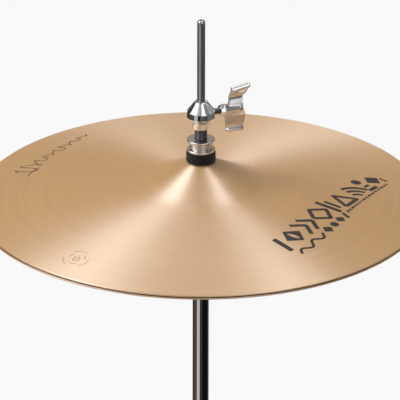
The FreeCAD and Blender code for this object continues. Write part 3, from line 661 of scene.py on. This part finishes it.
def drawn_metal(name, colour, roughness, streak=0.12, metallic=1.0):
    """Metal drawn lengthwise: faint upright streaks vary its tone, and soft noise its roughness."""
    made, tree, shader = material(name, colour, metallic, roughness)
    where = tree.nodes.new("ShaderNodeTexCoord")
    squeeze = tree.nodes.new("ShaderNodeVectorMath")
    squeeze.operation = "MULTIPLY"
    squeeze.inputs[1].default_value = (1, 1, 0.02)
    tree.links.new(where.outputs["Object"], squeeze.inputs[0])
    noise = tree.nodes.new("ShaderNodeTexNoise")
    noise.inputs["Scale"].default_value = 1800.0
    noise.inputs["Detail"].default_value = 2.0
    tree.links.new(squeeze.outputs[0], noise.inputs["Vector"])
    dark = tuple(c * (1 - streak) for c in colour)
    pale = tuple(min(1.0, c * (1 + streak)) for c in colour)
    tone = ramp(tree, noise.outputs["Fac"], (0.3, dark), (0.7, pale))
    tree.links.new(tone, shader.inputs["Base Color"])
    rough = tree.nodes.new("ShaderNodeMapRange")
    rough.inputs["To Min"].default_value = roughness * 0.8
    rough.inputs["To Max"].default_value = roughness * 1.25
    tree.links.new(cloud(tree, 120.0), rough.inputs["Value"])
    tree.links.new(rough.outputs[0], shader.inputs["Roughness"])
    raised(tree, shader, noise.outputs["Fac"], 0.04, 0.0001)
    return made


rod_steel = drawn_metal("drawn_steel", (0.42, 0.42, 0.42), 0.13, 0.12, 0.85)
tube_chrome = drawn_metal("tube_chrome", (0.74, 0.73, 0.72), 0.09, 0.03)

low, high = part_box("upper_pull_rod")
rod = high.x
tip = 0.0016
rod_edge = 0.0003
arc = np.linspace(0, math.pi / 2, 8)
outline = [
    (rod_edge, low.z), (rod - rod_edge, low.z), (rod, low.z + rod_edge), (rod, low.z + 0.001),
    (rod, high.z - 0.004),
]
outline += [(rod - tip + tip * math.cos(a), high.z - tip + tip * math.sin(a)) for a in arc]
outline += [(rod_edge, high.z)]
finished(skin("steel_rod", turned(outline, 64)), rod_steel, "rod", ["upper_pull_rod"])

low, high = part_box("upper_tube")
tube = high.x
tube_wall = 0.0012
tube_bore = tube - tube_wall
outline = rounded(
    [(tube, low.z), (tube, high.z), (tube_bore, high.z), (tube_bore, low.z)],
    [0.0004, 0.0004, 0.0003, 0.0003],
)
finished(skin("chrome_tube", turned(outline, 96)), tube_chrome, "mast", ["upper_tube"])


# ---- Clutch: a chromed body on a threaded sleeve, with two nuts and a felt on each side of the hat ----
# The body is bored for the rod and held by a wing screw. The sleeve is screwed into it and hangs
# below; the nuts lock each other over the upper felt, and a fluted nut closes the sleeve underneath.


def plated(name, colour, roughness, haze=0.25):
    """Plated and polished metal: uneven haze in its roughness and a faint orange-peel surface."""
    made, tree, shader = material(name, colour, 1.0, roughness)
    rough = tree.nodes.new("ShaderNodeMapRange")
    rough.inputs["To Min"].default_value = roughness * (1 - haze)
    rough.inputs["To Max"].default_value = roughness * (1 + 2 * haze)
    tree.links.new(cloud(tree, 160.0, 4.0), rough.inputs["Value"])
    tree.links.new(rough.outputs[0], shader.inputs["Roughness"])
    dark = tuple(c * 0.96 for c in colour)
    tone = ramp(tree, cloud(tree, 60.0), (0.3, dark), (0.7, colour))
    tree.links.new(tone, shader.inputs["Base Color"])
    raised(tree, shader, cloud(tree, 700.0, 2.0), 0.02, 0.0001)
    return made


chrome = plated("clutch_chrome", (0.80, 0.80, 0.81), 0.05)
nickel = plated("satin_nickel", (0.60, 0.57, 0.53), 0.24)
black_oxide = plated("black_oxide", (0.10, 0.10, 0.105), 0.34)

low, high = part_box("clutch_body")
body_radius = high.x
socket_radius = 0.0049
socket_depth = 0.0028
collar_radius = 0.0071
collar_top = low.z + 0.0047
band_base = collar_top + 0.0044
band_top = high.z - 0.0077
band_draft = 0.00035
nose_radius = 0.0050
mouth_radius, throat_radius = 0.0041, 0.0035
bore = rod + 0.00005
outline = rounded(
    [
        (socket_radius, low.z), (collar_radius, low.z), (collar_radius, collar_top),
        (body_radius, band_base), (body_radius - band_draft, band_top), (nose_radius, high.z),
        (mouth_radius, high.z), (throat_radius, high.z - 0.0013), (bore, high.z - 0.0016),
        (bore, low.z + socket_depth + 0.0002), (socket_radius, low.z + socket_depth),
    ],
    [0.0003, 0.0005, 0.0006, 0.0006, 0.0004, 0.0004, 0.0003, 0.0002, 0.0001, 0, 0],
)
clutch_shell = skin("clutch_shell", turned(outline, 192))
finished(clutch_shell, chrome, "clutch", ["clutch_body"], 30)


def threaded(outer, inner, bottom, top, pitch, depth, steps=60, per_turn=6, carry=None):
    """Sleeve or stud with a screw thread that runs out at both ends.

    The radius falls by up to the depth as height over pitch, plus the turn, nears a whole number.
    """
    z = np.arange(bottom, top, pitch / per_turn)
    wall = np.stack([np.full_like(z, outer), z], -1)
    outline = np.concatenate([wall, [(inner, z[-1]), (inner, z[0])]])
    ends = np.clip(np.minimum(outline[:, 1] - bottom, z[-1] - outline[:, 1]) / pitch, 0.0, 1.0)

    def groove(angle, radius, height):
        """Triangle wave along the screw's line, faded out over the last turn at each end."""
        turn = height / pitch + angle / (2 * math.pi)
        wave = np.abs((turn % 1.0) - 0.5) * 2
        cut = depth * (wave * ends + 0.6 * (1 - ends))
        return np.where(radius > inner + 1e-6, radius - cut, radius), height

    return turned(outline, steps, groove, carry)


low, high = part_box("clutch_stem")
stem = high.y
sleeve_pitch, sleeve_depth = 0.00125, 0.00045
sleeve = threaded(stem, rod + 0.0003, low.z, high.z, sleeve_pitch, sleeve_depth)
finished(skin("threaded_sleeve", sleeve), black_oxide, "clutch", ["clutch_stem"], 50)


flange = 0.0020
neck = 0.0088
waist = 0.0083
waist_height = 0.0009
nut_bore = stem + 0.00005


def round_nut(node, flange_up):
    """Nut with a thin flange at one end and a grooved neck, turned in one piece."""
    low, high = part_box(node)
    top = high.z - low.z
    rows = [
        (nut_bore, 0), (high.x, 0), (high.x, flange), (waist, flange), (waist, flange + waist_height),
        (neck, flange + waist_height + 0.0004), (neck, top), (nut_bore, top),
    ]
    outline = rounded(rows, [0.0002, 0.0006, 0.0006, 0.0002, 0.0001, 0.0004, 0.0005, 0.0003])
    outline[:, 1] = high.z - outline[:, 1] if flange_up else low.z + outline[:, 1]
    return turned(outline, 128)


for name, flange_up in (("lock_nut", True), ("felt_nut", False)):
    node = "clutch_" + name
    finished(skin(name, round_nut(node, flange_up)), nickel, "clutch", [node], 40)

felt_root, felt_mid, felt_end = (0.006, 0.006, 0.007), (0.014, 0.013, 0.013), (0.045, 0.04, 0.036)
felt, tree, shader = material("black_felt", felt_mid, 0.0, 0.95)
shader.inputs["Specular IOR Level"].default_value = 0.15
shader.inputs["Sheen Weight"].default_value = 0.25
shader.inputs["Sheen Roughness"].default_value = 0.5
shader.inputs["Sheen Tint"].default_value = (0.6, 0.55, 0.5, 1)
fibre = cloud(tree, 2600.0, 6.0)
wool = ramp(tree, fibre, (0.35, felt_root), (0.62, felt_mid), (0.80, felt_end))
tree.links.new(wool, shader.inputs["Base Color"])
raised(tree, shader, fibre, 0.7, 0.0006)


def felt_ring(name, node, body, hole, spread, seed):
    """Ring of pressed wool: a rounded section that spreads towards its foot, with uneven walls.

    The wall stands out by the spread times the square of the share of height left above it, and a sum of
    seeded sine waves in angle and height lifts and sinks it.
    """
    low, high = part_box(node)
    draw = np.random.default_rng(seed)
    waves = [(draw.integers(2, 34), draw.uniform(0, 6.28), draw.uniform(-900, 900)) for _ in range(26)]
    lump_height = 0.00010
    share = np.linspace(0, 1, 15)
    wall_radius = high.x - spread * 1.1 + spread * (1 - share) ** 2
    wall = np.stack([wall_radius, low.z + (high.z - low.z) * share], -1)
    wall[[0, 1, -1, -2], 0] -= [0.0007, 0.0001, 0.0008, 0.0002]
    edge, land = 0.0004, 0.002
    inside = [(hole + land, high.z), (hole, high.z - edge), (hole, low.z + edge), (hole + land, low.z)]
    outline = np.concatenate([wall, inside])

    def tufts(angle, r, height):
        """Sum of the seeded waves, added to the radius of the outer wall alone."""
        lump = sum(np.sin(n * angle + phase + tilt * height) for n, phase, tilt in waves)
        lump /= len(waves) ** 0.5
        return r + np.where(r > hole + 0.003, lump_height * lump, 0), height

    ring = skin(name, turned(outline, 160, tufts))
    finished(ring, felt, body, [node], 60)
    return ring


def felt_fibres(name, node, body, count, seed):
    """Loose wool ends: slim three-sided spikes that leave the ring's wall at random, over its foot."""
    low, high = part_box(node)
    draw = np.random.default_rng(seed)
    thickness = 0.00004
    corners = []
    faces = []
    for first in range(0, 4 * count, 4):
        turn = draw.uniform(0, 2 * math.pi)
        share = draw.uniform(0.02, 0.98) ** 1.3
        root = Vector((math.cos(turn), math.sin(turn), 0)) * (high.x - 0.0004)
        root.z = low.z + (high.z - low.z) * share
        lean = Vector(draw.normal(0, 0.8, 3)) + Vector((math.cos(turn), math.sin(turn), -0.25))
        end = root + lean.normalized() * draw.uniform(0.0006, 0.0013)
        end.z = max(end.z, low.z + 0.00005)
        side = lean.cross(Vector((0, 0, 1))).normalized() * thickness
        up = lean.cross(side).normalized() * thickness
        corners += [root + side, root - side * 0.5 + up, root - side * 0.5 - up, end]
        faces += [(first, first + 1, first + 2), (first, first + 3, first + 1)]
        faces += [(first + 1, first + 3, first + 2), (first + 2, first + 3, first)]
    mesh = bpy.data.meshes.new(name)
    mesh.from_pydata(corners, [], faces)
    piece = bpy.data.objects.new(name, mesh)
    bpy.context.scene.collection.objects.link(piece)
    return finished(piece, felt, body, crease=80)


felt_hole = stem + 0.0003
felt_ring("upper_felt", "clutch_upper_felt", "clutch", felt_hole, 0.0003, 5)
felt_fibres("upper_felt_fibres", "clutch_upper_felt", "clutch", 1500, 6)
felt_ring("lower_felt", "clutch_lower_felt", "clutch", felt_hole, 0.0002, 7)


# ---- Wing screw of the clutch: threaded stud, faceted hub and two hollowed blades ----
# The stud goes through the body and pinches the rod. The head is cast in one piece and chromed:
# each blade is a frame round a hollow, with a rolled lip where the finger pushes.

wing_turn = math.radians(24.0)
wing_roll = math.radians(15.0)
low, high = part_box("clutch_wing_stud")
wing_height = (low.z + high.z) / 2
stud_radius = (high.z - low.z) / 2
stud_inner = 0.00325
stud_outer = 0.0205
stud_pitch, stud_depth = 0.0010, 0.00035
wing_frame = Matrix.Translation((0, 0, wing_height)) @ Matrix.Rotation(wing_turn, 4, "Z")
wing_frame = wing_frame @ Matrix.Rotation(wing_roll, 4, "X")
stud_frame = wing_frame @ Matrix.Rotation(math.radians(90), 4, "Y")
stud = threaded(
    stud_radius, 0.0004, stud_inner, stud_outer, stud_pitch, stud_depth, steps=40, carry=stud_frame,
)
finished(skin("wing_thread", stud), black_oxide, "clutch_wing", ["clutch_wing_stud"], 50)

# Blade profiles. Each is a list of shares of the blade's height, then the value at each share: how far
# its two edges stand from the blade's start, how far its middle bows, and how thick and hollow it is.
upper_left = [0, 0.15, 0.35, 0.8, 1.0], [-0.0012, 0.0000, 0.0010, 0.0014, 0.0008]
upper_right = [0, 0.40, 0.47, 0.54, 0.8, 1.0], [0.0124, 0.0126, 0.0130, 0.0152, 0.0160, 0.0160]
upper_bend = [0, 0.06, 0.38, 0.46, 0.56, 1.0], [-0.0012, -0.0010, 0.0022, 0.0025, 0.0021, -0.0016]
upper_slant = 0.14
lower_left = [0, 0.15, 0.35, 0.8, 1.0], [-0.0020, -0.0026, -0.0018, 0.0004, 0.0014]
lower_right = [0, 0.3, 0.8, 1.0], [0.0130, 0.0160, 0.0162, 0.0160]
lower_bend = [0, 0.10, 0.78, 0.85, 1.0], [-0.0012, -0.0010, 0.0008, 0.0007, -0.0004]
lower_slant = 0.04
web_swell = [0, 0.25, 0.6, 1.0], [1.5, 0.9, 0.6, 0.6]
hollow_share = [0, 0.2, 0.3, 0.72, 0.8, 1], [0, 0, 1, 1, 0, 0]
hollow_depth = 0.62
frame_share, frame_slope = 0.04, 0.14
squareness = 0.28
blade_start = 0.0226
blade_width = 0.0156
blade_thickness = 0.0032
blade_lip = 0.0019
wing_span = 0.0232


def flat_oval(wave):
    """Cosine or sine with its size raised to a small power, which squares an oval up."""
    return np.sign(wave) * np.abs(wave) ** squareness


def wing_blade(up):
    """One blade as rows of closed sections from the hub to the lip.

    Each section is a flattened oval between the left and right edge at that height. Its faces are
    hollowed inside a frame, its middle bows away from the thumb, and the last rows swell to a round lip.
    """
    left_edge, right_edge, bow, slant = (
        (upper_left, upper_right, upper_bend, upper_slant) if up
        else (lower_left, lower_right, lower_bend, lower_slant)
    )
    lip_rows = 0.80 + 0.2 * np.sin(np.linspace(0.06, 1, 18) * math.pi / 2)
    around = np.linspace(0, 2 * math.pi, 49)[:-1]
    rows = []
    for share in np.concatenate([np.linspace(0, 0.80, 26), lip_rows]):
        left = blade_start + np.interp(share, *left_edge)
        right = blade_start + np.interp(share, *right_edge)
        middle, half = (left + right) / 2, (right - left) / 2
        x = middle + half * flat_oval(np.cos(around))
        end = wing_span * (1 - slant + slant * (x - blade_start) / blade_width)
        height = end * share
        web = blade_thickness / 2 * np.interp(share, *web_swell)
        inside = np.clip((1 - np.abs((x - middle) / half) - frame_share) / frame_slope, 0, 1)
        inside = inside * inside * (3 - 2 * inside)
        hollow = hollow_depth * inside * np.interp(share, *hollow_share)
        above_lip = height - (end - blade_lip)
        swell = np.sqrt(np.clip(blade_lip**2 - above_lip**2, 0, None))
        half_depth = np.where(above_lip > 0, swell, np.maximum(web * (1 - hollow), swell))
        depth = half_depth * flat_oval(np.sin(around)) + np.interp(height / wing_span, *bow)
        rows.append(np.stack([x, depth, height if up else -height], -1))
    return np.array(rows)


hub_start = 0.0154
hub_end = 0.0240
hub_radius = 0.0048
hub_outline = rounded(
    [
        (0.0004, hub_start + 0.0008), (0.0026, hub_start + 0.0002), (0.0042, hub_start + 0.0004),
        (hub_radius, hub_start + 0.0030), (hub_radius, hub_start + 0.0052), (0.0042, hub_end),
        (0.0036, hub_end + 0.0085), (0.0004, hub_end + 0.0092),
    ],
    [0, 0.0004, 0.0006, 0.0008, 0.0008, 0.0008, 0.0010, 0],
)
flats = 10
flats_from, flats_reach = 0.0030, 0.0016


def facets(angle, radius, height):
    """Flats on the fat part of the hub: the radius falls between its corners as on a many-sided bar."""
    wedge = 2 * math.pi / flats
    inner = math.cos(wedge / 2) / np.cos((angle % wedge) - wedge / 2)
    share = np.clip((radius - flats_from) / flats_reach, 0, 1)
    return radius * (1 - share + share * inner), height


def rolled_lip(left, right, radius, soft=0.0006):
    """Bead along a blade's end: rings from end to end, drawn in at both ends as a quarter circle."""
    left, right = Vector(left), Vector(right)
    along = (right - left).normalized()
    forward = Vector((0, 1, 0))
    side = along.cross(forward).normalized()
    around = np.linspace(0, 2 * math.pi, 33)[:-1]
    length = (right - left).length
    ends = [np.linspace(0, soft, 6), np.linspace(length - soft, length, 6)]
    rows = []
    for place in np.concatenate([ends[0], np.linspace(soft, length - soft, 12), ends[1]]):
        inward = max(0.0, 1 - min(place, length - place) / soft)
        ring_radius = radius - soft * (1 - math.sqrt(1 - inward**2))
        centre = left + along * place
        spokes = [math.cos(a) * side + math.sin(a) * forward for a in around]
        rows.append([centre + ring_radius * spoke for spoke in spokes])
    return np.array(rows)


wing_chrome = plated("wing_chrome", (0.78, 0.77, 0.76), 0.07)
hub = skin("wing_hub", turned(hub_outline, 120, facets, stud_frame))
finished(hub, wing_chrome, "clutch_wing", ["clutch_wing_head"], 20)
lip_left = (blade_start + 0.0006, -0.0018, 0.0200)
lip_right = (blade_start + 0.0154, -0.0018, 0.0228)
lip_radius = 0.0023
lip = placed(rolled_lip(lip_left, lip_right, lip_radius), wing_frame)
upper_blade = skin("upper_blade", placed(wing_blade(True), wing_frame), lip, capped=True)
lower_blade = skin("lower_blade", placed(wing_blade(False), wing_frame), capped=True)
for blade in (upper_blade, lower_blade):
    finished(blade, wing_chrome, "clutch_wing", crease=40)


# ---- Seat of the lower hat: felt on a dished plate, screwed to the top of the tube ----
# A nylon guide in the tube's mouth steers the rod, and its nose centres the lower hat.


def painted(paint, *nodes):
    """Gives a finish to pieces that keep their own shape, through their own material slots."""
    for node in nodes:
        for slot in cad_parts[node].material_slots:
            slot.material = paint


nylon, tree, shader = mottled(
    "black_nylon", 0.0, 0.45, 300.0, 3.0, (0.020, 0.020, 0.021), (0.032, 0.032, 0.034), to_share=0.7,
)
raised(tree, shader, cloud(tree, 1500.0), 0.06, 0.0002)
stand_chrome = plated("stand_chrome", (0.76, 0.76, 0.77), 0.08)
felt_ring("seat_felt_ring", "seat_felt", "mast", rod + 0.0060, 0.0003, 9)
painted(stand_chrome, "cymbal_seat", "seat_screw")
painted(nylon, "rod_bushing")
painted(nickel, "clutch_bottom_nut", "rod_coupler")
painted(rod_steel, "lower_pull_rod")


# ---- Lower tube with its height clamp, leg collar and wing bolts ----
# The clamp is cast in one piece round the tube's mouth and closes on a nylon liner; the leg collar
# slides on the tube. Each is pinched by a wing bolt like the clutch's, with a larger head.

painted(tube_chrome, "lower_tube")
painted(nylon, "tube_liner")
cast, tree, shader = mottled(
    "cast_enamel", 0.35, 0.42, 90.0, 5.0, (0.17, 0.17, 0.18), (0.23, 0.23, 0.24), to_share=0.7,
)
raised(tree, shader, cloud(tree, 900.0, 4.0), 0.25, 0.0004)
painted(cast, "height_clamp", "leg_collar")
painted(black_oxide, "height_bolt_stud", "leg_bolt_stud", "tube_screw")
painted(stand_chrome, "leg_collar_pins", "brace_pins", "clevis_pin", "toe_pin", "heel_pin")
painted(wing_chrome, "height_bolt_head", "leg_bolt_head")


# ---- Tripod: three legs of paired straps with single braces, rivets and rubber feet ----
# Each leg hangs on the collar's pins and is held out by a brace from the yoke; the feet are moulded
# rubber boots pushed over the straps' ends.

leg_steel = drawn_metal("leg_steel", (0.68, 0.68, 0.69), 0.16, 0.05)
rubber, tree, shader = mottled(
    "black_rubber", 0.0, 0.72, 70.0, 5.0, (0.014, 0.014, 0.014), (0.034, 0.032, 0.030), from_share=0.35,
)
raised(tree, shader, cloud(tree, 1800.0), 0.3, 0.0003)
for leg in ("leg_1", "leg_2", "leg_3"):
    painted(leg_steel, leg + "_left_strap", leg + "_right_strap", leg + "_brace")
    painted(stand_chrome, leg + "_rivet")
    painted(rubber, leg + "_foot")


# ---- Yoke and pedal: cast frame, spring, pull link and a hinged footboard on its heel plate ----
# The yoke stands on two rubber pads under the tube. The spring lifts the rod; the link joins the
# rod's clevis to the toe of the footboard, and two rods tie the heel plate to the yoke.

painted(cast, "yoke", "footboard", "heel_plate")
painted(rubber, "yoke_pads", "heel_mat")
painted(nickel, "rod_clevis", "pull_link", "spring_collar", "spring_seat")
spring_steel = drawn_metal("spring_steel", (0.45, 0.45, 0.46), 0.25, 0.08)
painted(spring_steel, "spring")
painted(stand_chrome, "frame_rods")
